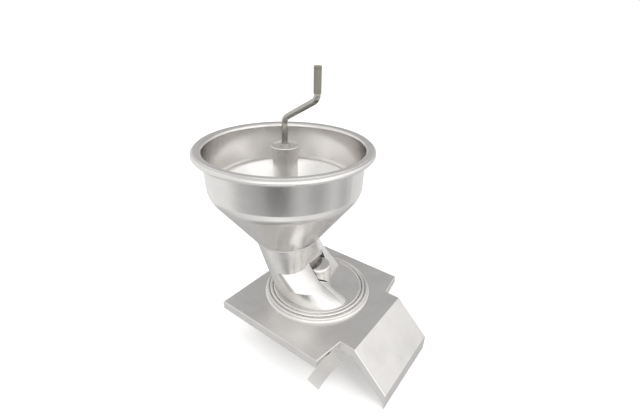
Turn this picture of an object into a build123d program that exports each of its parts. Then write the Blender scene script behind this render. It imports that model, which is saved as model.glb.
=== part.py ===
"""Hopper-fed potato ricer head: a folded cover plate with a ricing chamber under it, a lift-out lid
with a slanted feed tube and a round hopper, a hand crank for the hopper's agitator, and a ricing
rotor driven from below.

Millimetres, +Z up. The origin is on the rotor's axis, in the plane that the cover plate's skirt
stands on. +X points down the sloping apron.
"""

import os
from math import atan2, cos, degrees, pi, radians, sin, tan

from build123d import *

os.makedirs("parts", exist_ok=True)

# Cover plate, a folded sheet
SHEET = 2.0
PLATE_TOP = 20.0
BACK_X = -139.0
FRONT_X = 134.0  # front edge at the outer corners
NOTCH_X = 143.7  # front edge at the tongue
NEAR_Y = -179.0
FAR_Y = 158.5
TONGUE_NEAR_Y = -110.5
TONGUE_FAR_Y = 90.0
FOLD_X = 178.2
APRON_X = 257.3
APRON_DROP = 76.7
APRON_LIP = 38.0
BEND_RADIUS = 2.5
PLATE_OPENING_R = 110.0

# Collar on the plate and the lid that sits in it; its two rolled beads go through (radius, height)
COLLAR_FOOT_BEND = (124.0, 22.0)
COLLAR_OUTER_SIDE = (122.3, 26.0)
COLLAR_OUTER_CREST = (119.4, 31.0)
COLLAR_DIP_OUTSIDE = (116.6, 28.2)
COLLAR_DIP = (115.6, 27.4)
COLLAR_DIP_INSIDE = (114.6, 28.4)
COLLAR_INNER_CREST = (111.6, 34.4)
SPIGOT_TOP = 31.0
COLLAR_BORE_R = 104.0
COLLAR_FOOT_R = 127.5
LEDGE_Z = 24.0
SPIGOT_WALL_R = 108.6
GASKET_THICK = 3.0
LID_R = 107.8
LID_TOP = 32.0
LID_THICK = 3.0
LID_BEAD_R = 104.6
LID_BEAD_SECTION = 2.6
LID_SKIRT_R = 103.4
LID_SKIRT_WALL = 2.0

# Ricing chamber
DRUM_WALL = 2.0
DRUM_BOTTOM = -38.0
DRUM_FLANGE_R = 120.0
LEDGE_INNER_R = 95.0
GRID_R = 103.4
GRID_THICK = 3.0
GRID_HOLE_R = 4.0
GRID_PITCH = 12.0
GRID_BORE_R = 21.0
GRID_FIRST_R = 34.0
STUD_COUNT = 6
STUD_R = 2.5
STUD_CIRCLE_R = 114.0
PEG_COUNT = 3
PEG_R = 3.0

# Bearing under the grid
BEARING_BOTTOM = -58.0
BEARING_HUB_R = 24.0
BEARING_ARM_ROOT = 20.0
BEARING_ARM_THICK = 8.0
BEARING_ARM_HEIGHT = 14.0
BEARING_ARM_LAP = 6.0  # how far an arm runs on under the ledge
BUSH_R = 18.0

# Rotor on the drive axis
SHAFT_R = 14.0
JOURNAL_R = 8.0
SOCKET_R = 9.0
KEYWAY = 5.0
SHAFT_BOTTOM = -66.0
SOCKET_TOP = 2.0
SHOULDER_Z = 16.0
JOURNAL_TOP = 72.0
RUNNING = 0.05  # radial clearance of a running fit
LOOSE = 0.3  # radial clearance of a loose piece
ROTOR_HUB_R = 22.0
BLADE_REACH = 100.0
BLADE_COUNT = 3
BLADE_THICK = 3.0
BLADE_GAP = 1.5  # above the grid
BLADE_FOOT_Y = -20.0
BLADE_BELLY = (-4.0, 9.0)
BLADE_TIP = (4.0, 34.0)
HUB_LOW = DRUM_BOTTOM + 6.0
WASHER_R = 19.5
WASHER_PLAY = 0.1
PIN_Z = 9.0
PIN_R = 2.5
CLIP_HIGH = BEARING_BOTTOM - 1.5
CLIP_LOW = CLIP_HIGH - 1.6
CLIP_GROOVE = 1.0
CLIP_RIM = 4.0  # stands this far out of the shaft
CLIP_GAP = 7.0

# Feed tube: neck round the hopper's axis above, crescent round the rotor's axis below
HOPPER_X = -58.4
HOPPER_Y = -43.0
NECK_Z = 168.0
NECK_R = 70.5
TUBE_WALL = 2.5
TUBE_FOOT_R = 101.0
NOTCH_AZIMUTH = 43.0  # the bare quarter of the lid faces this way
# Notch at three heights, x towards its middle: near and far corner, angles of their sides, tip rounds
FOOT_NOTCH = ((30.0, -9.1), (30.0, 9.1), (-61.0, 61.0), (17.0, 14.0))
WAIST_Z = 72.0
WAIST_NOTCH = ((-14.8, -22.0), (20.0, 15.6), (-61.0, 71.5), (26.0, 16.0))
THROAT_Z = 110.0
THROAT_NOTCH = ((-24.0, -24.0), (8.0, 18.7), (-118.0, 78.0), (45.0, 16.0))
NECK_DIVISIONS = (-122.0, -90.0, -55.0, 16.0, 42.0, 54.0)  # where the notch's corners meet the neck

# Recess in the tube, and the bearing drum that stands in it
RECESS_R = 34.0
RECESS_WALL = 2.0
RECESS_LIP = 1.6
RECESS_BACK_Z = 111.6
RECESS_FRONT_Z = 106.3
BOSS_R = 31.0
BOSS_TOP = 91.0
BOSS_ROUND = 6.0
BOSS_WALL = 3.0
JOURNAL_BUSH_R = 13.0

# Hopper
SHOULDER_R = 162.5
SHOULDER_CORNER_Z = 292.0
SHOULDER_ROUND = 40.0
RIM_WALL_R = 165.0
LIP_Z = 380.0
RIM_BEAD_R = 6.0
RIM_R = 184.3
LIP_BEND = 5.0

# Agitator column, its fixed post and the crank
POST_R = 12.0
POST_TOP = 356.0
SPIDER_Z = 186.0
SPIDER_HUB_R = 20.0
SPIDER_ARM_THICK = 6.0
SPIDER_ARM_HEIGHT = 12.0
COLUMN_R = 26.0
COLUMN_WALL = 4.0
COLUMN_BOTTOM = 190.0
COLUMN_TOP = 372.0
COLLAR_R = 28.5
COLLAR_HEIGHT = 13.0
CAP_TOP = 380.0
CAP_RECESS = 1.5
PLUG_DEPTH = 10.0
CAP_HEIGHT = 4.0
ROD_R = 6.0
ROD_COLLAR_R = 10.0
ROD_COLLAR_HEIGHT = 5.0
CRANK_LOW = 435.0
CRANK_HIGH = 481.0
CRANK_THROW = 80.0
CRANK_TOP = 538.0
CRANK_BEND = 17.0
GRIP_BOTTOM = 491.5
GRIP_R = 7.0
GRIP_JOURNAL_R = 4.8
GRIP_PLAY = 0.2
ARM_COUNT = 3
ARM_R = 5.0
ARM_ROOT_Z = 212.0
ARM_ELBOW_R = 84.0
ARM_TIP_R = 122.0
ARM_TIP_Z = 262.0
ARM_BEND = 18.0
BUSH_LENGTH = 20.0

# Latch lever beside the tongue
LATCH_STATION = 31.0  # along the slanted front edge, from the tongue
LATCH_Z = 8.5
LEVER_LENGTH = 70.0
LEVER_ROOT = 6.0
LEVER_TOP = 8.0
LEVER_DROP = 23.5
LEVER_BOW = 3.5
EYE_LENGTH = 18.0
LEVER_WIDTH = 29.0
LEVER_THICK = 3.0
LEVER_GAP = 2.0
SPINDLE_R = 5.0
SPINDLE_HOLE_R = 7.0
BRACKET_INSET = 6.0
BRACKET_LENGTH = 24.0
BRACKET_WIDTH = 18.0
BRACKET_BELOW = 9.0  # under the spindle
HOOK_DEPTH = 34.0
HOOK_THICK = 6.0
HOOK_EYE_R = 8.5
HOOK_HALF_WIDTH = 7.0
HOOK_THROAT = 22.0  # from the spindle down to the toe
HOOK_TOE = 15.0
HOOK_LENGTH = 29.0
HOOK_CORNER = 4.0


def save(shape, node):
    export_step(shape, f"parts/{node}.step")


def disc(radius, low, high, centre=(0.0, 0.0)):
    return Pos(centre[0], centre[1], low) * Cylinder(
        radius, high - low, align=(Align.CENTER, Align.CENTER, Align.MIN)
    )


def ring(inner, outer, low, high, centre=(0.0, 0.0)):
    return disc(outer, low, high, centre) - disc(inner, low - 1, high + 1, centre)


def spun(outline, centre=(0.0, 0.0)):
    """A closed outline of lines and arcs in (radius, height), turned about a vertical axis."""
    face = make_face(Plane.XZ * outline)
    return Pos(centre[0], centre[1], 0) * revolve(face, Axis.Z)


def around(count, start=0.0):
    return [start + 360.0 * k / count for k in range(count)]


def polar(radius, angle):
    return (radius * cos(radians(angle)), radius * sin(radians(angle)))


# ---------------------------------------------------------------- cover plate


def plate_outline(inset):
    """Main rectangle whose front edges beside the tongue run slightly slanted."""
    corners = [
        (BACK_X, NEAR_Y),
        (FRONT_X, NEAR_Y),
        (NOTCH_X, TONGUE_NEAR_Y),
        (NOTCH_X, TONGUE_FAR_Y),
        (FRONT_X, FAR_Y),
        (BACK_X, FAR_Y),
    ]
    face = make_face(Polyline(*corners, close=True))
    return face if inset == 0 else offset(face, -inset, kind=Kind.INTERSECTION)


def apron_side(inset, below):
    """Side view (x, z) of the tongue and the apron, as deep as the skirt."""
    slope = atan2(APRON_DROP, APRON_X - FOLD_X)
    top = PLATE_TOP - inset
    fold = FOLD_X - inset * tan(slope / 2)
    tip_x = APRON_X - inset
    tip_z = top - (tip_x - fold) * tan(slope)
    depth = PLATE_TOP + below
    low_fold = FOLD_X - depth * tan(slope / 2)
    low_tip_z = PLATE_TOP - depth - (tip_x - low_fold) * tan(slope)
    start = NOTCH_X - 12.0
    points = [
        (start, top),
        (fold, top),
        (tip_x, tip_z),
        (tip_x, low_tip_z),
        (low_fold, PLATE_TOP - depth),
        (start, PLATE_TOP - depth),
    ]
    return make_face(Plane.XZ * Polyline(*points, close=True))


def apron_block(inset, below):
    near = TONGUE_NEAR_Y + inset
    far = TONGUE_FAR_Y - inset
    side = Pos(0, far, 0) * apron_side(inset, below)
    return extrude(side, far - near, dir=(0, -1, 0))


def latch_plane():
    """Plane at the near half of the front edge: x along the edge, y up and z in under the plate."""
    along = Vector(FRONT_X - NOTCH_X, NEAR_Y - TONGUE_NEAR_Y, 0).normalized()
    station = Vector(NOTCH_X, TONGUE_NEAR_Y, LATCH_Z) + along * LATCH_STATION
    return Plane(origin=station, x_dir=along, z_dir=(along.Y, -along.X, 0))


def cover_plate():
    outer = extrude(plate_outline(0), PLATE_TOP) + apron_block(0, 0)
    outer = fillet([e for e in outer.edges() if is_outer_bend(e)], BEND_RADIUS)
    inner = Pos(0, 0, -1) * extrude(plate_outline(SHEET), PLATE_TOP - SHEET + 1)
    inner += apron_block(SHEET, 60.0)
    body = outer - inner
    lip_top = PLATE_TOP - APRON_DROP - BEND_RADIUS
    lip = Pos(APRON_X - SHEET / 2, (TONGUE_NEAR_Y + TONGUE_FAR_Y) / 2, lip_top) * Box(
        SHEET,
        TONGUE_FAR_Y - TONGUE_NEAR_Y,
        APRON_LIP - BEND_RADIUS,
        align=(Align.CENTER, Align.CENTER, Align.MAX),
    )
    body += lip
    body -= disc(PLATE_OPENING_R, 0, PLATE_TOP + 1)
    return body - latch_plane() * Cylinder(SPINDLE_HOLE_R, 10 * SHEET)


def is_outer_bend(edge):
    """True for the folds round the top face and along the apron, not for its lower corners."""
    middle = edge.center()
    direction = edge.tangent_at(0.5)
    above = middle.Z > PLATE_TOP - APRON_DROP - 1
    on_top = abs(middle.Z - PLATE_TOP) < 0.01
    sloping = abs(direction.Z) > 0.3 and abs(direction.X) > 0.3
    end_fold = abs(middle.X - APRON_X) < 0.01 and abs(direction.Y) > 0.9
    return on_top or (above and (sloping or end_fold))


# ---------------------------------------------------------------- collar, chamber and grid


def collar_ring():
    foot = (COLLAR_FOOT_R, PLATE_TOP)
    spigot = (SPIGOT_WALL_R, SPIGOT_TOP)
    outline = Curve() + [
        ThreePointArc(foot, COLLAR_FOOT_BEND, COLLAR_OUTER_SIDE),
        ThreePointArc(COLLAR_OUTER_SIDE, COLLAR_OUTER_CREST, COLLAR_DIP_OUTSIDE),
        ThreePointArc(COLLAR_DIP_OUTSIDE, COLLAR_DIP, COLLAR_DIP_INSIDE),
        ThreePointArc(COLLAR_DIP_INSIDE, COLLAR_INNER_CREST, spigot),
        Polyline(
            spigot,
            (SPIGOT_WALL_R, LEDGE_Z),
            (COLLAR_BORE_R, LEDGE_Z),
            (COLLAR_BORE_R, PLATE_TOP),
            foot,
        ),
    ]
    return spun(outline)


def chamber_drum():
    """Wall, the flange that bolts under the plate, and the ledge that carries the grid."""
    under = PLATE_TOP - SHEET
    wall = ring(COLLAR_BORE_R, COLLAR_BORE_R + DRUM_WALL, DRUM_BOTTOM, under)
    flange = ring(COLLAR_BORE_R, DRUM_FLANGE_R, under - DRUM_WALL, under)
    ledge = ring(LEDGE_INNER_R, COLLAR_BORE_R + 1, DRUM_BOTTOM, DRUM_BOTTOM + DRUM_WALL)
    body = wall + flange + ledge
    for angle in around(STUD_COUNT, 30.0):
        body -= disc(STUD_R + 0.5, 0, PLATE_TOP, polar(STUD_CIRCLE_R, angle))
    for angle in around(PEG_COUNT, 90.0):
        body -= disc(PEG_R, DRUM_BOTTOM - 1, 0, polar(peg_circle(), angle))
    return body


def peg_circle():
    return GRID_R - PEG_R - 1.0


def grid_pegs():
    low = DRUM_BOTTOM
    high = DRUM_BOTTOM + DRUM_WALL + GRID_THICK
    return Compound(
        [disc(PEG_R, low, high, polar(peg_circle(), a)) for a in around(PEG_COUNT, 90.0)]
    )


def ricing_grid():
    low = DRUM_BOTTOM + DRUM_WALL
    plate = ring(GRID_BORE_R, GRID_R, low, low + GRID_THICK)
    circles = []
    radius = GRID_FIRST_R
    while radius < LEDGE_INNER_R - GRID_HOLE_R:
        count = int(2 * pi * radius / GRID_PITCH)
        circles += [Pos(*polar(radius, a)) * Circle(GRID_HOLE_R) for a in around(count)]
        radius += GRID_PITCH
    plate -= Pos(0, 0, low - 1) * extrude(Sketch() + circles, GRID_THICK + 2)
    for angle in around(PEG_COUNT, 90.0):
        plate -= disc(PEG_R + 0.2, low - 1, low + GRID_THICK + 1, polar(peg_circle(), angle))
    return plate


def drum_studs():
    under = PLATE_TOP - SHEET
    return Compound(
        [
            disc(STUD_R, under - 10, under, polar(STUD_CIRCLE_R, a))
            for a in around(STUD_COUNT, 30.0)
        ]
    )


def drum_nuts():
    top = PLATE_TOP - SHEET - DRUM_WALL
    nut = extrude(RegularPolygon(4.6, 6) - Circle(STUD_R), 4.0)
    return Compound(
        [Pos(*polar(STUD_CIRCLE_R, a), top - 4.0) * nut for a in around(STUD_COUNT, 30.0)]
    )


# ---------------------------------------------------------------- lower bearing and rotor

def bearing_spider():
    """Three flat arms on edge from the drum's ledge to the hub that holds the lower bush."""
    length = LEDGE_INNER_R + BEARING_ARM_LAP - BEARING_ARM_ROOT
    hub = disc(BEARING_HUB_R, BEARING_BOTTOM, DRUM_BOTTOM)
    arm = Box(
        length,
        BEARING_ARM_THICK,
        BEARING_ARM_HEIGHT,
        align=(Align.MIN, Align.CENTER, Align.MAX),
    )
    for angle in around(3, 30.0):
        hub += Rot(0, 0, angle) * Pos(BEARING_ARM_ROOT, 0, DRUM_BOTTOM) * arm
    return hub - disc(BUSH_R, BEARING_BOTTOM - 1, DRUM_BOTTOM + 1)


def lower_bush():
    return ring(SHAFT_R + RUNNING, BUSH_R, BEARING_BOTTOM, DRUM_BOTTOM)


def rotor_washer():
    return ring(SHAFT_R + LOOSE, WASHER_R, DRUM_BOTTOM + WASHER_PLAY, HUB_LOW - WASHER_PLAY)


def rotor_shaft():
    """Keyed drive socket below, journal for the lid's bush above."""
    body = disc(SHAFT_R, SHAFT_BOTTOM, SHOULDER_Z) + disc(JOURNAL_R, SHOULDER_Z, JOURNAL_TOP)
    body = chamfer(body.edges().filter_by(GeomType.CIRCLE).sort_by(Axis.Z)[-1], 2.0)
    body -= disc(SOCKET_R, SHAFT_BOTTOM - 1, SOCKET_TOP)
    body -= Pos(0, 0, SHAFT_BOTTOM - 1) * Box(
        SOCKET_R + 2.0,
        KEYWAY,
        SOCKET_TOP - SHAFT_BOTTOM + 1,
        align=(Align.MIN, Align.CENTER, Align.MIN),
    )
    body -= ring(SHAFT_R - CLIP_GROOVE, SHAFT_R + 1, CLIP_LOW, CLIP_HIGH)
    return body - rotor_pin()


def rotor_circlip():
    clip = ring(SHAFT_R - CLIP_GROOVE, SHAFT_R + CLIP_RIM, CLIP_LOW, CLIP_HIGH)
    gap = Pos(SHAFT_R + CLIP_RIM / 2, 0, CLIP_LOW) * Box(2 * CLIP_RIM, CLIP_GAP, CLIP_RIM)
    return clip - gap


def rotor_pin():
    return Pos(0, 0, PIN_Z) * Rot(90, 0, 0) * Cylinder(PIN_R, 2 * ROTOR_HUB_R - 2)


def rotor_hub():
    body = ring(SHAFT_R, ROTOR_HUB_R, HUB_LOW, SHOULDER_Z)
    body = chamfer(body.edges().filter_by(GeomType.CIRCLE).sort_by(Axis.Z)[-1], 1.5)
    return body - rotor_pin()


def rotor_blade():
    """Curved pressing blade, standing a little off the grid and leaning forward at the top."""
    low = DRUM_BOTTOM + DRUM_WALL + GRID_THICK + BLADE_GAP
    arc = ThreePointArc((BLADE_FOOT_Y, 0), BLADE_BELLY, BLADE_TIP)
    profile = Wire(arc.edges()).offset_2d(BLADE_THICK, side=Side.LEFT, closed=True)
    blade = extrude(Plane.YZ * make_face(profile), 1.1 * BLADE_REACH)
    sweep_room = ring(ROTOR_HUB_R, BLADE_REACH, -BLADE_REACH, BLADE_REACH)
    return Pos(0, 0, low) * (blade & sweep_room)


# ---------------------------------------------------------------- lid


def lid_gasket():
    return ring(COLLAR_BORE_R, SPIGOT_WALL_R - 0.4, LEDGE_Z, LEDGE_Z + GASKET_THICK)


def along_notch(x, y):
    """A point of the plan, seen with x towards the notch."""
    turned = Vector(x, y, 0).rotate(Axis.Z, -NOTCH_AZIMUTH)
    return turned.X, turned.Y


def tube_circle(inset, z):
    """Round outline at a height between the wide foot and the neck, with x towards the notch."""
    share = (z - LID_TOP) / (NECK_Z - LID_TOP)
    radius = TUBE_FOOT_R + share * (NECK_R - TUBE_FOOT_R) - inset
    x, y = along_notch(share * HOPPER_X, share * HOPPER_Y)
    return x, y, radius


def crescent(inset, z, notch):
    """The round outline less a notch with rounded tips."""
    near, far, sides, rounds = notch
    x, y, radius = tube_circle(inset, z)
    reach = 4 * TUBE_FOOT_R
    near_end, far_end = [
        Vector(*corner) + reach * Vector(*polar(1, side))
        for corner, side in zip((near, far), sides)
    ]
    outer = (2 * reach, 0)
    notch_face = make_face(Polyline(near_end, near, far, far_end, outer, close=True))
    if inset:
        notch_face = offset(notch_face, inset, kind=Kind.INTERSECTION)
    face = (Pos(x, y) * Circle(radius) - notch_face).faces()[0]
    for end, tip_round in zip((0, -1), rounds):
        tip = sorted(face.vertices(), key=lambda v: v.Y)[end]
        face = fillet(tip, tip_round - inset).faces()[0]
    return face


def neck_circle(inset):
    x, y, radius = tube_circle(inset, NECK_Z)
    following = NECK_DIVISIONS[1:] + (NECK_DIVISIONS[0] + 360.0,)
    arcs = [CenterArc((x, y), radius, a, b - a) for a, b in zip(NECK_DIVISIONS, following)]
    return make_face(Curve() + arcs)


def tube_solid(inset):
    turned = Rot(0, 0, NOTCH_AZIMUTH)
    levels = [(LID_TOP, FOOT_NOTCH), (WAIST_Z, WAIST_NOTCH), (THROAT_Z, THROAT_NOTCH)]
    sections = [Pos(0, 0, z) * turned * crescent(inset, z, notch) for z, notch in levels]
    sections.append(Pos(0, 0, NECK_Z) * turned * neck_circle(inset))
    return loft(sections, ruled=True)


def lid_plate():
    """Flat plate with a rolled edge bead, a locating skirt and the feed opening."""
    under = LID_TOP - LID_THICK
    bead = Pos(0, 0, LID_TOP) * Torus(LID_BEAD_R, LID_BEAD_SECTION)
    skirt = ring(LID_SKIRT_R - LID_SKIRT_WALL, LID_SKIRT_R, LEDGE_Z - LID_SKIRT_WALL, under)
    body = disc(LID_R, under, LID_TOP) + bead + skirt
    opening = Rot(0, 0, NOTCH_AZIMUTH) * crescent(TUBE_WALL + 1.0, LID_TOP, FOOT_NOTCH)
    opening = extrude(Pos(0, 0, under - 5) * opening, LID_THICK + 10)
    island = disc(RECESS_R + RECESS_WALL + 1.0, under - 6, LID_TOP + 6)
    return body - (opening - island) - disc(JOURNAL_BUSH_R, under - 1, LID_TOP + 1)


def recess_block(grow):
    """Upright cylinder about the rotor's axis under a roof that slopes along the notch."""
    radius = RECESS_R + grow
    rise = degrees(atan2(RECESS_FRONT_Z - RECESS_BACK_Z, RECESS_R))
    block = disc(radius, LID_TOP, RECESS_FRONT_Z + 2 * RECESS_R)
    roof = Pos(0, 0, RECESS_FRONT_Z + grow) * Rot(0, 0, NOTCH_AZIMUTH) * Rot(0, -rise, 0)
    return split(block, bisect_by=Plane(roof), keep=Keep.BOTTOM)


def feed_tube():
    return tube_solid(0) - tube_solid(TUBE_WALL) - recess_block(RECESS_WALL)


def recess_wall():
    shell = recess_block(RECESS_WALL) - recess_block(0)
    return shell & tube_solid(-RECESS_LIP)


def bearing_drum():
    """Domed drum over the lid that carries the rotor's upper bush."""
    body = disc(BOSS_R, LID_TOP, BOSS_TOP)
    body = fillet(body.edges().filter_by(GeomType.CIRCLE).sort_by(Axis.Z)[-1], BOSS_ROUND)
    inner = JOURNAL_BUSH_R + BOSS_WALL
    hollow = ring(inner, BOSS_R - BOSS_WALL, LID_TOP - 1, BOSS_TOP - 2 * BOSS_WALL)
    return body - hollow - disc(JOURNAL_BUSH_R, LID_TOP - 1, JOURNAL_TOP + 4)


def journal_bush():
    return ring(JOURNAL_R + RUNNING, JOURNAL_BUSH_R, LID_TOP - LID_THICK, JOURNAL_TOP + 2)


# ---------------------------------------------------------------- hopper


def hopper_bowl():
    """Spun sheet: neck, cone, rounded shoulder, slightly flared wall and a rolled rim."""
    bead_z = LIP_Z - RIM_BEAD_R + 1.0
    bead_r = RIM_R - RIM_BEAD_R
    points = [
        (NECK_R, NECK_Z),
        (SHOULDER_R, SHOULDER_CORNER_Z),
        (RIM_WALL_R, LIP_Z),
        (bead_r, LIP_Z + 1.0),
    ]
    skin = FilletPolyline(*points, radius=[SHOULDER_ROUND, LIP_BEND])
    outline = Wire(skin.edges()).offset_2d(SHEET, side=Side.LEFT, closed=True)
    bowl = spun(outline) + Pos(0, 0, bead_z) * Torus(bead_r, RIM_BEAD_R)
    return Pos(HOPPER_X, HOPPER_Y, 0) * bowl


def at_hopper(shape):
    return Pos(HOPPER_X, HOPPER_Y, 0) * shape


def cone_inside():
    """Space inside the hopper's cone, from the neck up."""
    rise = (SHOULDER_R - NECK_R) / (SHOULDER_CORNER_Z - NECK_Z)
    inner = NECK_R - SHEET * (1 + rise**2) ** 0.5
    top = NECK_Z + 60.0
    points = [(0, NECK_Z), (inner, NECK_Z), (inner + 60.0 * rise, top), (0, top)]
    return spun(Polyline(*points, close=True))


def post_spider():
    """Hub on three flat arms across the neck, which carries the post."""
    arms = Part()
    for angle in around(3, NOTCH_AZIMUTH):
        arm = Box(
            SHOULDER_R,
            SPIDER_ARM_THICK,
            SPIDER_ARM_HEIGHT,
            align=(Align.MIN, Align.CENTER, Align.MIN),
        )
        arms += Rot(0, 0, angle) * Pos(0, 0, NECK_Z + 2) * arm
    hub = disc(SPIDER_HUB_R, NECK_Z - 2, SPIDER_Z)
    spider = hub + (arms & cone_inside())
    return at_hopper(spider - disc(POST_R, NECK_Z - 15, SPIDER_Z + 1))


def post():
    body = disc(POST_R, NECK_Z - 2, POST_TOP)
    top = body.edges().filter_by(GeomType.CIRCLE).sort_by(Axis.Z)[-1]
    return at_hopper(chamfer(top, 2.0))


def column_washer():
    return at_hopper(ring(POST_R + LOOSE, SPIDER_HUB_R - 1, SPIDER_Z, COLUMN_BOTTOM - WASHER_PLAY))


def column_bush(low):
    return at_hopper(ring(POST_R + RUNNING, COLUMN_R - COLUMN_WALL, low, low + BUSH_LENGTH))


def agitator_column():
    return at_hopper(ring(COLUMN_R - COLUMN_WALL, COLUMN_R, COLUMN_BOTTOM, COLUMN_TOP))


def column_collar():
    """Ring round the top of the column, standing a little above the cap."""
    low = CAP_TOP + CAP_RECESS - COLLAR_HEIGHT
    body = disc(COLLAR_R, low, CAP_TOP + CAP_RECESS)
    top = body.edges().filter_by(GeomType.CIRCLE).sort_by(Axis.Z)
    body = fillet([top[0], top[-1]], 1.5)
    return at_hopper(body - disc(COLUMN_R, low - 1, CAP_TOP + CAP_RECESS + 1))


def column_cap():
    body = disc(COLUMN_R, COLUMN_TOP, CAP_TOP)
    top = body.edges().filter_by(GeomType.CIRCLE).sort_by(Axis.Z)[-1]
    low = COLUMN_TOP - PLUG_DEPTH
    plug = disc(COLUMN_R - COLUMN_WALL, low, COLUMN_TOP)
    return at_hopper(chamfer(top, 1.0) + plug - disc(ROD_R, low - 1, CAP_TOP + 1))


def crank_rod():
    """Bent round bar: up from the cap, out along the arm, and up again as the grip's journal."""
    low = COLUMN_TOP - PLUG_DEPTH
    points = [(0, low), (0, CRANK_LOW), (CRANK_THROW, CRANK_HIGH), (CRANK_THROW, GRIP_BOTTOM)]
    path = Plane.XZ * FilletPolyline(*points, radius=CRANK_BEND)
    rod = sweep(Plane(origin=(0, 0, low), z_dir=(0, 0, 1)) * Circle(ROD_R), path)
    rod += disc(GRIP_JOURNAL_R, GRIP_BOTTOM - 1, CRANK_TOP - CAP_HEIGHT, (CRANK_THROW, 0))
    return at_hopper(rod)


def crank_boss():
    """Small collar that locks the rod on the cap."""
    body = ring(ROD_R, ROD_COLLAR_R, CAP_TOP, CAP_TOP + ROD_COLLAR_HEIGHT)
    top = body.edges().filter_by(GeomType.CIRCLE).group_by(Axis.Z)[-1].sort_by(SortBy.RADIUS)[-1]
    return at_hopper(chamfer(top, 1.2))


def grip_sleeve():
    body = disc(GRIP_R, GRIP_BOTTOM + GRIP_PLAY, CRANK_TOP - CAP_HEIGHT - GRIP_PLAY)
    body = fillet(body.edges().filter_by(GeomType.CIRCLE), 0.8)
    body -= disc(GRIP_JOURNAL_R + RUNNING, GRIP_BOTTOM - 1, CRANK_TOP)
    return at_hopper(Pos(CRANK_THROW, 0, 0) * body)


def grip_cap():
    body = disc(GRIP_R, CRANK_TOP - CAP_HEIGHT, CRANK_TOP)
    top = body.edges().filter_by(GeomType.CIRCLE).sort_by(Axis.Z)[-1]
    return at_hopper(Pos(CRANK_THROW, 0, 0) * chamfer(top, 0.6))


def agitator_arm():
    """Round bar from the column's foot, out over the cone and up along it."""
    root = COLUMN_R - COLUMN_WALL
    points = [(root, ARM_ROOT_Z), (ARM_ELBOW_R, ARM_ROOT_Z), (ARM_TIP_R, ARM_TIP_Z)]
    path = Plane.XZ * FilletPolyline(*points, radius=ARM_BEND)
    start = Plane(origin=(root, 0, ARM_ROOT_Z), z_dir=(1, 0, 0))
    column = disc(COLUMN_R, ARM_ROOT_Z - 2 * ARM_R, ARM_ROOT_Z + 2 * ARM_R)
    return sweep(start * Circle(ARM_R), path) - column


# ---------------------------------------------------------------- latches


def at_latch(shape):
    """Places a piece drawn with x along the plate's edge, y up and z out of the edge."""
    return latch_plane() * mirror(shape, about=Plane.XY)


def latch_lever():
    """Bowed finger strip with an eye under its root, which is pressed on the spindle."""
    root = (-LEVER_ROOT, LEVER_TOP)
    middle = ((LEVER_LENGTH - LEVER_ROOT) / 2, LEVER_TOP - LEVER_DROP / 2 + LEVER_BOW)
    tip = (LEVER_LENGTH - LEVER_ROOT, LEVER_TOP - LEVER_DROP)
    skin = ThreePointArc(root, middle, tip)
    strip = Wire(skin.edges()).offset_2d(LEVER_THICK, side=Side.RIGHT, closed=True)
    body = Pos(0, 0, LEVER_GAP) * extrude(make_face(strip), LEVER_WIDTH)
    eye = disc(LEVER_TOP - 1.0, LEVER_GAP + 2, LEVER_GAP + EYE_LENGTH)
    return body + eye - disc(SPINDLE_R, -1, LEVER_WIDTH + 10)


def latch_spindle():
    return disc(SPINDLE_R, -HOOK_DEPTH - HOOK_THICK, LEVER_GAP + EYE_LENGTH)


def latch_hook():
    """Finger that turns under the rim of the machine below."""
    outline = [
        (-HOOK_HALF_WIDTH, 0),
        (-HOOK_HALF_WIDTH, -HOOK_THROAT),
        (-HOOK_TOE, -HOOK_THROAT),
        (-HOOK_TOE, -HOOK_LENGTH),
        (HOOK_HALF_WIDTH - HOOK_CORNER, -HOOK_LENGTH),
        (HOOK_HALF_WIDTH, HOOK_CORNER - HOOK_LENGTH),
        (HOOK_HALF_WIDTH, 0),
    ]
    finger = make_face(Polyline(*outline, close=True)) + Circle(HOOK_EYE_R)
    plate = Pos(0, 0, -HOOK_DEPTH - HOOK_THICK) * extrude(finger, HOOK_THICK)
    return plate - disc(SPINDLE_R, -HOOK_DEPTH - 20, 0)


def latch_bracket():
    """Bearing block welded under the sheet."""
    top = PLATE_TOP - SHEET - LATCH_Z
    block = Pos(0, top, -BRACKET_INSET) * Box(
        BRACKET_WIDTH,
        top + BRACKET_BELOW,
        BRACKET_LENGTH,
        align=(Align.CENTER, Align.MAX, Align.MAX),
    )
    return block - disc(SPINDLE_R + RUNNING, -HOOK_DEPTH - 20, 0)


PARTS = {
    "cover_plate": cover_plate,
    "collar_ring": collar_ring,
    "chamber_drum": chamber_drum,
    "grid_pegs": grid_pegs,
    "ricing_grid": ricing_grid,
    "drum_studs": drum_studs,
    "drum_nuts": drum_nuts,
    "bearing_spider": bearing_spider,
    "lower_bush": lower_bush,
    "rotor_washer": rotor_washer,
    "rotor_shaft": rotor_shaft,
    "rotor_circlip": rotor_circlip,
    "rotor_pin": rotor_pin,
    "rotor_hub": rotor_hub,
    "lid_gasket": lid_gasket,
    "lid_plate": lid_plate,
    "feed_tube": feed_tube,
    "recess_wall": recess_wall,
    "bearing_drum": bearing_drum,
    "journal_bush": journal_bush,
    "hopper_bowl": hopper_bowl,
    "post_spider": post_spider,
    "post": post,
    "column_washer": column_washer,
    "agitator_column": agitator_column,
    "column_collar": column_collar,
    "column_cap": column_cap,
    "crank_rod": crank_rod,
    "crank_boss": crank_boss,
    "grip_sleeve": grip_sleeve,
    "grip_cap": grip_cap,
}

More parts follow.
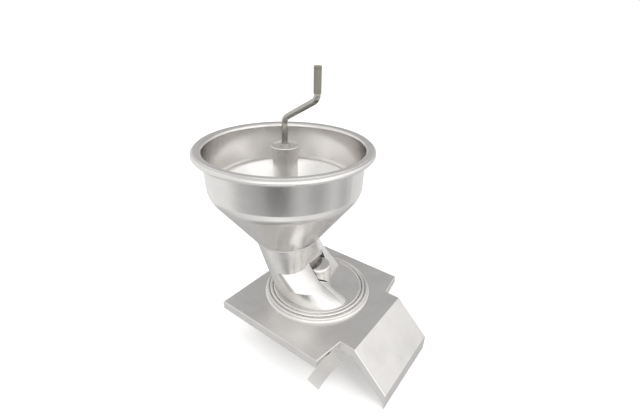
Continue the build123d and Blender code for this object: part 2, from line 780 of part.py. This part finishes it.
if __name__ == "__main__":
    for node, build in PARTS.items():
        save(build(), node)
    save(column_bush(COLUMN_BOTTOM), "column_bush_lower")
    save(column_bush(POST_TOP - 1.2 * BUSH_LENGTH), "column_bush_upper")
    for number, angle in enumerate(around(BLADE_COUNT), 1):
        save(Rot(0, 0, angle) * rotor_blade(), f"rotor_blade_{number}")
    for number, angle in enumerate(around(ARM_COUNT), 1):
        save(at_hopper(Rot(0, 0, angle) * agitator_arm()), f"agitator_arm_{number}")
    latch_pieces = {
        "latch_lever": latch_lever,
        "latch_spindle": latch_spindle,
        "latch_hook": latch_hook,
        "latch_bracket": latch_bracket,
    }
    for node, build in latch_pieces.items():
        save(at_latch(build()), node)
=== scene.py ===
"""Looks, light and camera for the potato ricer head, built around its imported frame."""

import math

import bmesh
import bpy
from mathutils import Matrix, Vector

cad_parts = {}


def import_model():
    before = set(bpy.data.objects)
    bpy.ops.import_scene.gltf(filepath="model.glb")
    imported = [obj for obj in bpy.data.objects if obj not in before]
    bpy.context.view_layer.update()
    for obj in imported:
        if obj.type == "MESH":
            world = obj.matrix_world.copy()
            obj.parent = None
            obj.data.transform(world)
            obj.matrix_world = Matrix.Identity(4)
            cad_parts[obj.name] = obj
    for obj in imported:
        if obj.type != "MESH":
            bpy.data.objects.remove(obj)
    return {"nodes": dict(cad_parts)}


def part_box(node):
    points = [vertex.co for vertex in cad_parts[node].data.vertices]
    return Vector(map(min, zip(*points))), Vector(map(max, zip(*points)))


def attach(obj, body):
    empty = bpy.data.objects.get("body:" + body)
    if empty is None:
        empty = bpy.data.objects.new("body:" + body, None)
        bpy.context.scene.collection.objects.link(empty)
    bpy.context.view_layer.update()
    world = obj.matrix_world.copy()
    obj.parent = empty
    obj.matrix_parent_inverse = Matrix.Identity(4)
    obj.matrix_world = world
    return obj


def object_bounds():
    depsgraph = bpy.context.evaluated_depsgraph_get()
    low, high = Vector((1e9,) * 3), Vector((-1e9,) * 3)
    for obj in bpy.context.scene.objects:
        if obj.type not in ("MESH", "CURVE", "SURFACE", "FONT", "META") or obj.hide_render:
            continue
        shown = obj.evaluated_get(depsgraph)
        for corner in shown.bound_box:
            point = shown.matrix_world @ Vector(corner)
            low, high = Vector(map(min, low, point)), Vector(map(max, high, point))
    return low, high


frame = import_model()
CAD_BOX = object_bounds()

MM = 0.001
NODES = frame["nodes"]


# ---------------------------------------------------------------- node trees


class Graph:
    """One material's node tree, with short calls that add nodes and join them."""

    def __init__(self, name):
        self.material = bpy.data.materials.new(name)
        self.material.use_nodes = True
        self.tree = self.material.node_tree
        self.tree.nodes.clear()
        self.shader = self.node("ShaderNodeBsdfPrincipled")
        output = self.node("ShaderNodeOutputMaterial")
        self.join(self.shader.outputs["BSDF"], output.inputs["Surface"])

    def node(self, kind, **settings):
        made = self.tree.nodes.new(kind)
        for key, value in settings.items():
            setattr(made, key, value)
        return made

    def join(self, source, target):
        self.tree.links.new(source, target)

    def feed(self, socket, value):
        """Joins a socket to another one, or sets it to a constant."""
        if isinstance(value, bpy.types.NodeSocket):
            self.join(value, socket)
        else:
            socket.default_value = value

    def place(self):
        """Position in the piece's own metres, which stays on the piece when it moves."""
        return self.node("ShaderNodeTexCoord").outputs["Object"]

    def maths(self, operation, first, second=0.0, third=0.0, clamp=False):
        made = self.node("ShaderNodeMath", operation=operation, use_clamp=clamp)
        for socket, value in zip(made.inputs, (first, second, third)):
            self.feed(socket, value)
        return made.outputs[0]

    def vector(self, operation, first, second=None):
        made = self.node("ShaderNodeVectorMath", operation=operation)
        self.feed(made.inputs[0], first)
        if second is not None:
            self.feed(made.inputs[1], second)
        return made.outputs["Value" if operation in ("DOT_PRODUCT", "LENGTH") else "Vector"]

    def combine(self, x, y, z):
        made = self.node("ShaderNodeCombineXYZ")
        for socket, value in zip(made.inputs, (x, y, z)):
            self.feed(socket, value)
        return made.outputs[0]

    def parts(self, vector):
        made = self.node("ShaderNodeSeparateXYZ")
        self.join(vector, made.inputs[0])
        return made.outputs

    def noise(self, vector, scale, detail=2.0, roughness=0.5, distortion=0.0):
        made = self.node("ShaderNodeTexNoise")
        self.join(vector, made.inputs["Vector"])
        made.inputs["Scale"].default_value = scale
        made.inputs["Detail"].default_value = detail
        made.inputs["Roughness"].default_value = roughness
        made.inputs["Distortion"].default_value = distortion
        return made.outputs["Fac"]

    def span(self, value, low, high, to_low=0.0, to_high=1.0):
        """Maps low..high smoothly on to to_low..to_high."""
        made = self.node("ShaderNodeMapRange", interpolation_type="SMOOTHSTEP")
        self.join(value, made.inputs["Value"])
        limits = {"From Min": low, "From Max": high, "To Min": to_low, "To Max": to_high}
        for socket, number in limits.items():
            made.inputs[socket].default_value = number
        return made.outputs["Result"]

    def blend(self, factor, first, second, mode="MIX"):
        made = self.node("ShaderNodeMix", data_type="RGBA", blend_type=mode)
        self.feed(made.inputs["Factor"], factor)
        for name, colour in (("A", first), ("B", second)):
            is_socket = isinstance(colour, bpy.types.NodeSocket)
            self.feed(made.inputs[name], colour if is_socket else (*colour, 1.0))
        return made.outputs["Result"]


# ---------------------------------------------------------------- grain directions

TURNED_STRETCH = 0.012  # how slowly the grain changes along a line, against 1 across it
ROLLED_STRETCH = 0.02


def turned_about(centre):
    """Grain that runs round an upright axis: slow round it, quick along the profile."""

    def grain(graph):
        x, y, z = graph.parts(graph.vector("SUBTRACT", graph.place(), (centre[0], centre[1], 0.0)))
        radius = graph.vector("LENGTH", graph.combine(x, y, 0.0))
        slow_x = graph.maths("DIVIDE", x, radius)
        slow_y = graph.maths("DIVIDE", y, radius)
        across = graph.maths("ADD", radius, z)
        return graph.combine(
            graph.maths("MULTIPLY", slow_x, TURNED_STRETCH),
            graph.maths("MULTIPLY", slow_y, TURNED_STRETCH),
            across,
        )

    return grain


def rolled_along(slow):
    """Grain of rolled or belt-polished sheet, slow along one direction."""
    stretch = tuple(ROLLED_STRETCH if axis == slow else 1.0 for axis in "XYZ")
    return lambda graph: graph.vector("MULTIPLY", graph.place(), stretch)


# ---------------------------------------------------------------- materials


EDGE_RADIUS = 0.5 * MM
EDGE_START = 0.995  # agreement of the true and the rounded normal at which an edge begins
EDGE_FULL = 0.93
FINE_LINES = 5200.0  # noise scales, per metre
BROAD_LINES = 700.0
CLOUDS = 17.0
WIPES = 42.0
WIPE_STRETCH = (0.35, 1.0, 0.6)
RUBBED = (0.93, 0.925, 0.915)
LINE_SHADE = 0.80
ROUGH_SWING = 0.07
SPECK_GRID = 75.0
SPECK_PATCHES = 38.0
SPECK_TONE = (0.98, 0.97, 0.96)


def edge_mask(graph, radius):
    """1 along hard edges and 0 on open faces, with the rounded normal it comes from."""
    rounded = graph.node("ShaderNodeBevel", samples=4)
    rounded.inputs["Radius"].default_value = radius
    facing = graph.node("ShaderNodeNewGeometry").outputs["Normal"]
    agreement = graph.vector("DOT_PRODUCT", rounded.outputs["Normal"], facing)
    return graph.span(agreement, EDGE_START, EDGE_FULL), rounded.outputs["Normal"]


def steel(
    name,
    tone,
    roughness,
    grain,
    anisotropy=0.0,
    line_depth=0.02,
    smudge=0.03,
    cloudy=0.05,
    specks=0.0,
):
    """Stainless steel with drawn lines, cloudy handling marks, fine scratches and rubbed edges."""
    graph = Graph(name)
    place = graph.place()
    along = grain(graph)
    fine = graph.noise(along, FINE_LINES, 3.0, 0.65)
    broad = graph.noise(along, BROAD_LINES, 3.0, 0.6)
    cloud = graph.noise(place, CLOUDS, 4.0, 0.62, 0.4)
    wipe = graph.noise(graph.vector("MULTIPLY", place, WIPE_STRETCH), WIPES, 3.0, 0.55, 1.2)
    worn, rounded = edge_mask(graph, EDGE_RADIUS)

    light = tuple(min(1.0, channel * (1.0 + cloudy)) for channel in tone)
    dull = tuple(channel * (1.0 - cloudy) for channel in tone)
    colour = graph.blend(graph.span(cloud, 0.30, 0.70), dull, light)
    lines = graph.span(broad, 0.25, 0.75)
    colour = graph.blend(graph.maths("MULTIPLY", lines, 0.10), colour, tuple(c * LINE_SHADE for c in tone))
    colour = graph.blend(graph.maths("MULTIPLY", worn, 0.45), colour, RUBBED)
    if specks:
        dots = graph.node("ShaderNodeTexVoronoi", feature="F1")
        graph.join(place, dots.inputs["Vector"])
        dots.inputs["Scale"].default_value = SPECK_GRID
        chosen = graph.maths("GREATER_THAN", graph.noise(place, SPECK_PATCHES, 0.0), 0.68)
        spot = graph.maths("MULTIPLY", graph.span(dots.outputs["Distance"], 0.10, 0.04), chosen)
        colour = graph.blend(graph.maths("MULTIPLY", spot, specks), colour, SPECK_TONE)
    graph.join(colour, graph.shader.inputs["Base Color"])

    base = roughness - ROUGH_SWING / 2
    rough = graph.maths("MULTIPLY_ADD", graph.span(fine, 0.3, 0.7), ROUGH_SWING, base)
    marks = graph.maths("MULTIPLY", graph.span(wipe, 0.45, 0.75), smudge)
    rough = graph.maths("ADD", rough, marks)
    rough = graph.maths("SUBTRACT", rough, graph.maths("MULTIPLY", worn, 0.06), clamp=True)
    graph.join(rough, graph.shader.inputs["Roughness"])

    bump = graph.node("ShaderNodeBump")
    bump.inputs["Strength"].default_value = 0.35
    bump.inputs["Distance"].default_value = line_depth * MM
    graph.join(graph.maths("ADD", fine, graph.maths("MULTIPLY", cloud, 1.5)), bump.inputs["Height"])
    graph.join(rounded, bump.inputs["Normal"])
    graph.join(bump.outputs["Normal"], graph.shader.inputs["Normal"])

    graph.shader.inputs["Metallic"].default_value = 1.0
    if anisotropy:
        graph.shader.inputs["Anisotropic"].default_value = anisotropy
        tangent = graph.node("ShaderNodeTangent", direction_type="RADIAL", axis="Z")
        graph.join(tangent.outputs["Tangent"], graph.shader.inputs["Tangent"])
    return graph.material


def dielectric(name, tone, roughness, mottling, pore_size, pore_depth):
    """Moulded plastic, rubber or painted surface with a faint pore texture and handling marks."""
    graph = Graph(name)
    place = graph.place()
    cloud = graph.noise(place, 60.0, 4.0, 0.6)
    pores = graph.noise(place, 1.0 / pore_size, 3.0, 0.7)
    worn, rounded = edge_mask(graph, 0.4 * MM)
    dark = tuple(c * (1.0 - mottling) for c in tone)
    light = tuple(c * (1.0 + mottling) for c in tone)
    rubbed = tuple(min(1.0, c * 1.5 + 0.02) for c in tone)
    colour = graph.blend(graph.span(cloud, 0.3, 0.7), dark, light)
    colour = graph.blend(graph.maths("MULTIPLY", worn, 0.25), colour, rubbed)
    graph.join(colour, graph.shader.inputs["Base Color"])
    rough = graph.span(pores, 0.3, 0.7, roughness - 0.06, roughness + 0.08)
    graph.join(rough, graph.shader.inputs["Roughness"])
    bump = graph.node("ShaderNodeBump")
    bump.inputs["Strength"].default_value = 0.4
    bump.inputs["Distance"].default_value = pore_depth
    graph.join(pores, bump.inputs["Height"])
    graph.join(rounded, bump.inputs["Normal"])
    graph.join(bump.outputs["Normal"], graph.shader.inputs["Normal"])
    return graph.material


def centre_of(node):
    low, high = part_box(node)
    return (low + high) / 2.0


def dress(material, *nodes):
    """Gives CAD nodes this material in every slot."""
    for node in nodes:
        slots = NODES[node].data.materials
        for index in range(len(slots)):
            slots[index] = material


ROTOR_AXIS = (0.0, 0.0)
BOWL_AXIS = tuple(centre_of("hopper_bowl").xy)
STAINLESS = (0.76, 0.745, 0.73)
BRIGHT = (0.80, 0.785, 0.77)

SHEET = steel("sheet_steel", STAINLESS, 0.32, rolled_along("Y"), line_depth=0.03, specks=0.8)
BOWL = steel("spun_steel", BRIGHT, 0.20, turned_about(BOWL_AXIS), anisotropy=0.6, cloudy=0.03)
TUBE = steel("tube_steel", BRIGHT, 0.20, rolled_along("Z"), line_depth=0.015)
TURNED = steel("turned_steel", BRIGHT, 0.25, turned_about(ROTOR_AXIS), anisotropy=0.4)
# Lighter copy of the turned steel. Its raised tone is painted light, standing in for the brighter
# reflections on the agitator column, its arms and the post.
LIGHTENED_CENTRE = steel("column_steel", (0.86, 0.85, 0.835), 0.24, turned_about(BOWL_AXIS), anisotropy=0.4)
INSIDE = steel("working_steel", STAINLESS, 0.34, turned_about(ROTOR_AXIS), smudge=0.07)
LATCH = steel("latch_steel", STAINLESS, 0.33, rolled_along("X"))
CRANK = steel("crank_steel", (0.50, 0.49, 0.465), 0.24, turned_about(BOWL_AXIS))
GRIP = dielectric("grip_finish", (0.175, 0.168, 0.138), 0.46, 0.10, 0.5 * MM, 0.02 * MM)
CAP = steel("cap_steel", (0.72, 0.70, 0.68), 0.34, turned_about(BOWL_AXIS))
RUBBER = dielectric("gasket_rubber", (0.55, 0.55, 0.53), 0.62, 0.06, 0.6 * MM, 0.03 * MM)
BUSHING = dielectric("bush_polymer", (0.78, 0.76, 0.70), 0.42, 0.05, 0.9 * MM, 0.02 * MM)

dress(SHEET, "cover_plate")
dress(BOWL, "hopper_bowl")
dress(TUBE, "feed_tube", "recess_wall")
dress(TURNED, "bearing_drum", "lid_plate", "collar_ring")
dress(LIGHTENED_CENTRE, "agitator_column", "column_collar", "post", "post_spider")
dress(LIGHTENED_CENTRE, *(f"agitator_arm_{number}" for number in (1, 2, 3)))
dress(INSIDE, "chamber_drum", "ricing_grid", "grid_pegs", "drum_studs", "drum_nuts", "bearing_spider")
dress(INSIDE, "rotor_shaft", "rotor_hub", "rotor_pin", "rotor_circlip")
dress(INSIDE, *(f"rotor_blade_{number}" for number in (1, 2, 3)))
dress(LATCH, *(f"latch_{part}" for part in ("lever", "spindle", "hook", "bracket")))
dress(CRANK, "crank_rod", "crank_boss")
dress(GRIP, "grip_sleeve", "grip_cap")
dress(CAP, "column_cap")
dress(RUBBER, "lid_gasket")
dress(BUSHING, "journal_bush", "lower_bush", "rotor_washer", "column_washer")
dress(BUSHING, "column_bush_lower", "column_bush_upper")


# ---------------------------------------------------------------- weld beads

BEAD_STEP = 1.2 * MM
BEAD_SIDES = 8
BEAD_RIPPLE = 0.16  # share of the bead's radius
RIPPLE_PITCH = 3.2 * MM
FOOT_BEAD_RISE = 0.6 * MM
FOOT_BEAD_R = 1.5 * MM
NECK_BEAD_RISE = 0.4 * MM
NECK_BEAD_R = 1.3 * MM
ARM_BEAD_R = 1.1 * MM
SAME_POINT = 0.001 * MM
WELD = steel("weld_steel", (0.70, 0.685, 0.665), 0.30, rolled_along("Z"), smudge=0.05)


def level_outline(node, height):
    """Longest closed outline that a level plane cuts from a CAD node, in order."""
    cut = bmesh.new()
    cut.from_mesh(NODES[node].data)
    cut.transform(NODES[node].matrix_world)
    bmesh.ops.remove_doubles(cut, verts=cut.verts, dist=SAME_POINT)
    bmesh.ops.bisect_plane(
        cut,
        geom=[*cut.verts, *cut.edges, *cut.faces],
        plane_co=(0.0, 0.0, height),
        plane_no=(0.0, 0.0, 1.0),
        clear_inner=True,
        clear_outer=True,
    )
    loops = []
    waiting = dict.fromkeys(cut.verts)
    while waiting:
        vertex = next(iter(waiting))
        del waiting[vertex]
        loop = [vertex.co.copy()]
        while vertex:
            beside = [edge.other_vert(vertex) for edge in vertex.link_edges]
            vertex = next((other for other in beside if other in waiting), None)
            if vertex:
                del waiting[vertex]
                loop.append(vertex.co.copy())
        loops.append(loop)
    cut.free()
    return max(loops, key=closed_length)


def closed_length(points):
    return sum((point - points[index - 1]).length for index, point in enumerate(points))


def root_outline(node, axis, radius):
    """Edge of a CAD node where it meets an upright round of this radius, in order."""
    tolerance = 0.05 * MM
    world = NODES[node].matrix_world
    points = [world @ vertex.co for vertex in NODES[node].data.vertices]
    met = [p for p in points if abs((p.xy - Vector(axis)).length - radius) < tolerance]
    middle = sum(met, Vector()) / len(met)
    out = (middle.xy - Vector(axis)).normalized()
    across = Vector((-out.y, out.x, 0.0))
    return sorted(met, key=lambda p: math.atan2(p.z - middle.z, (p - middle).dot(across)))


def evenly(points, step):
    """The same closed outline with its points an even step apart."""
    total = closed_length(points)
    count = max(12, round(total / step))
    spaced, travelled, index = [], 0.0, 0
    ends = [*points, points[0]]
    for number in range(count):
        wanted = total * number / count
        side = (ends[index + 1] - ends[index]).length
        while travelled + side < wanted:
            travelled += side
            index += 1
            side = (ends[index + 1] - ends[index]).length
        share = (wanted - travelled) / max(side, SAME_POINT)
        spaced.append(ends[index].lerp(ends[index + 1], share))
    return spaced


def weld_bead(name, outline, radius, body):
    """Rippled bead of weld metal laid along a closed outline."""
    centres = evenly(outline, min(BEAD_STEP, radius))
    middle = sum(centres, Vector()) / len(centres)
    ripples = max(1, round(closed_length(centres) / RIPPLE_PITCH))
    bead = bmesh.new()
    rings = []
    for index, centre in enumerate(centres):
        ahead = (centres[(index + 1) % len(centres)] - centres[index - 1]).normalized()
        side = ahead.cross(centre - middle).normalized()
        up = side.cross(ahead).normalized()
        swell = 1.0 + BEAD_RIPPLE * math.sin(math.tau * ripples * index / len(centres))
        ring = []
        for corner in range(BEAD_SIDES):
            turn = math.tau * corner / BEAD_SIDES
            spoke = math.cos(turn) * side + math.sin(turn) * up
            ring.append(bead.verts.new(centre + radius * swell * spoke))
        rings.append(ring)
    for index, ring in enumerate(rings):
        before = rings[index - 1]
        for corner in range(BEAD_SIDES):
            bead.faces.new((before[corner - 1], before[corner], ring[corner], ring[corner - 1]))
    bmesh.ops.recalc_face_normals(bead, faces=bead.faces)
    for face in bead.faces:
        face.smooth = True
    mesh = bpy.data.meshes.new(name)
    bead.to_mesh(mesh)
    bead.free()
    mesh.materials.append(WELD)
    piece = bpy.data.objects.new(name, mesh)
    bpy.context.scene.collection.objects.link(piece)
    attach(piece, body)


def weld_beads():
    """Beads along the tube's foot, round the neck and at the roots of the agitator's arms."""
    tube_low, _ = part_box("feed_tube")
    foot = level_outline("feed_tube", tube_low.z + FOOT_BEAD_RISE)
    weld_bead("tube_foot_weld", foot, FOOT_BEAD_R, "head")
    bowl_low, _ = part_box("hopper_bowl")
    neck = level_outline("hopper_bowl", bowl_low.z + NECK_BEAD_RISE)
    weld_bead("neck_weld", neck, NECK_BEAD_R, "head")
    column_low, column_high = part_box("agitator_column")
    column_radius = (column_high.x - column_low.x) / 2.0
    for number in (1, 2, 3):
        root = root_outline(f"agitator_arm_{number}", BOWL_AXIS, column_radius)
        weld_bead(f"arm_{number}_weld", root, ARM_BEAD_R, "crank")


weld_beads()


# ---------------------------------------------------------------- studio

FLOOR_GAP = 1.0 * MM
FLOOR_SIZE = 60.0
FLOOR_GLOW = 0.16  # lifts the paper to the white of the backdrop


def floor():
    """Wide pale sheet just under the lowest point of the object."""
    level = CAD_BOX[0].z - FLOOR_GAP
    mesh = bpy.data.meshes.new("floor")
    edges = bmesh.new()
    bmesh.ops.create_grid(edges, x_segments=8, y_segments=8, size=FLOOR_SIZE / 2)
    edges.to_mesh(mesh)
    edges.free()
    made = bpy.data.objects.new("floor", mesh)
    made.location.z = level
    bpy.context.scene.collection.objects.link(made)
    graph = Graph("floor_paper")
    tone = graph.noise(graph.place(), 3.0, 2.0)
    colour = graph.blend(tone, (0.90, 0.90, 0.895), (0.93, 0.93, 0.925))
    graph.join(colour, graph.shader.inputs["Base Color"])
    graph.shader.inputs["Roughness"].default_value = 0.9
    graph.shader.inputs["Specular IOR Level"].default_value = 0.1
    graph.shader.inputs["Emission Color"].default_value = (1.0, 1.0, 0.995, 1.0)
    graph.shader.inputs["Emission Strength"].default_value = FLOOR_GLOW
    mesh.materials.append(graph.material)
    made.visible_glossy = False


# Brightness of the room round the object, in rows from the zenith down: each holds for directions
# whose height (the sine of the elevation) is above its own start, by compass degrees from +X.
ROOM_STRENGTH = 1.5
BACKDROP = 1.0
ROOM_ROWS = (
    ((0.74, 0.96), ((-180, 0.78), (0, 0.78))),
    (
        (0.10, 0.36),
        (
            (-180, 0.95), (-110, 0.95), (-70, 1.35), (10, 1.35), (40, 1.20),
            (75, 0.90), (103, 0.50), (138, 0.47), (162, 0.75),
        ),
    ),
    (
        (-0.31, -0.20),
        (
            (-180, 0.95), (-110, 0.90), (-75, 1.35), (0, 1.35), (45, 0.80),
            (90, 0.75), (130, 0.65), (165, 0.80),
        ),
    ),
    (
        (-0.62, -0.52),
        (
            (-180, 0.95), (-140, 0.92), (-105, 0.52), (-82, 0.42), (-68, 0.20), (-52, 0.18),
            (-28, 0.60), (-3, 0.40), (24, 0.70), (42, 0.50), (65, 0.84),
        ),
    ),
    (
        (-0.95, -0.85),
        ((-180, 0.60), (-110, 0.85), (-60, 1.05), (0, 0.92), (60, 0.68), (110, 0.50), (150, 0.52)),
    ),
    (None, ((-180, 0.42), (0, 0.42))),
)


def world():
    """Soft room light: bright above, with darker stretches low down that the polished walls mirror."""
    scene_world = bpy.data.worlds.new("room")
    bpy.context.scene.world = scene_world
    scene_world.use_nodes = True
    tree = scene_world.node_tree
    tree.nodes.clear()
    join = tree.links.new

    def node(kind, **settings):
        made = tree.nodes.new(kind)
        for key, value in settings.items():
            setattr(made, key, value)
        return made

    def mix(factor, first, second):
        made = node("ShaderNodeMix", data_type="RGBA")
        for name, socket in (("Factor", factor), ("A", first), ("B", second)):
            join(socket, made.inputs[name])
        return made.outputs["Result"]

    def row(stops):
        """Greys round the compass, joined up where they meet."""
        made = node("ShaderNodeValToRGB")
        made.color_ramp.interpolation = "EASE"
        around = [((degrees + 180.0) / 360.0, level / ROOM_STRENGTH) for degrees, level in stops]
        around.append((1.0, around[0][1]))
        points = made.color_ramp.elements
        while len(points) < len(around):
            points.new(0.5)
        for point, (position, level) in zip(points, around):
            point.position = position
            point.color = (level, level * 0.995, level * 0.99, 1.0)
        join(compass.outputs["Result"], made.inputs["Fac"])
        return made.outputs["Color"]

    parts = node("ShaderNodeSeparateXYZ")
    join(node("ShaderNodeTexCoord").outputs["Generated"], parts.inputs[0])
    turn = node("ShaderNodeMath", operation="ARCTAN2")
    join(parts.outputs["Y"], turn.inputs[0])
    join(parts.outputs["X"], turn.inputs[1])
    compass = node("ShaderNodeMapRange")
    join(turn.outputs[0], compass.inputs["Value"])
    compass.inputs["From Min"].default_value = -math.pi
    compass.inputs["From Max"].default_value = math.pi

    colour = row(ROOM_ROWS[-1][1])
    for (low, high), stops in reversed(ROOM_ROWS[:-1]):
        rise = node("ShaderNodeMapRange", interpolation_type="SMOOTHSTEP")
        join(parts.outputs["Z"], rise.inputs["Value"])
        rise.inputs["From Min"].default_value = low
        rise.inputs["From Max"].default_value = high
        colour = mix(rise.outputs["Result"], colour, row(stops))
    plain = node("ShaderNodeRGB")
    plain.outputs[0].default_value = (*(BACKDROP / ROOM_STRENGTH,) * 3, 1.0)
    seen = node("ShaderNodeLightPath")
    colour = mix(seen.outputs["Is Camera Ray"], colour, plain.outputs[0])
    background = node("ShaderNodeBackground")
    background.inputs["Strength"].default_value = ROOM_STRENGTH
    join(colour, background.inputs["Color"])
    output = node("ShaderNodeOutputWorld")
    join(background.outputs[0], output.inputs["Surface"])


def softbox(name, place, size, power):
    """Rectangular area light that faces the middle of the object."""
    light = bpy.data.lights.new(name, "AREA")
    light.shape = "RECTANGLE"
    light.size, light.size_y = size
    light.energy = power
    made = bpy.data.objects.new(name, light)
    made.location = place
    middle = (CAD_BOX[0] + CAD_BOX[1]) / 2.0
    made.rotation_euler = (middle - made.location).to_track_quat("-Z", "Y").to_euler()
    made.visible_glossy = False
    bpy.context.scene.collection.objects.link(made)


CAMERA_PLACE = (0.42540, -0.57513, 0.61341)
CAMERA_RIGHT = Vector((0.79805, 0.60217, 0.02255))
CAMERA_UP = Vector((-0.29797, 0.36181, 0.88335))
CAMERA_BACK = Vector((0.52377, -0.71167, 0.46817))
CAMERA_SENSOR = 36.0
CAMERA_LENS = 20.636


def camera():
    """Camera of the view from the front corner, above the bowl's rim."""
    lens = bpy.data.cameras.new("camera")
    lens.sensor_width = CAMERA_SENSOR
    lens.lens = CAMERA_LENS
    made = bpy.data.objects.new("camera", lens)
    turned = Matrix((CAMERA_RIGHT, CAMERA_UP, CAMERA_BACK)).transposed().to_4x4()
    made.matrix_world = Matrix.Translation(CAMERA_PLACE) @ turned
    bpy.context.scene.collection.objects.link(made)
    bpy.context.scene.camera = made


floor()
world()
softbox("key", (-1.2, -1.6, 2.4), (1.6, 1.2), 22.0)
softbox("fill", (1.9, -0.2, 1.8), (1.4, 1.4), 12.0)
softbox("top", (0.0, 0.2, 2.9), (2.2, 2.2), 30.0)
camera()
bpy.context.scene.view_settings.view_transform = "Standard"
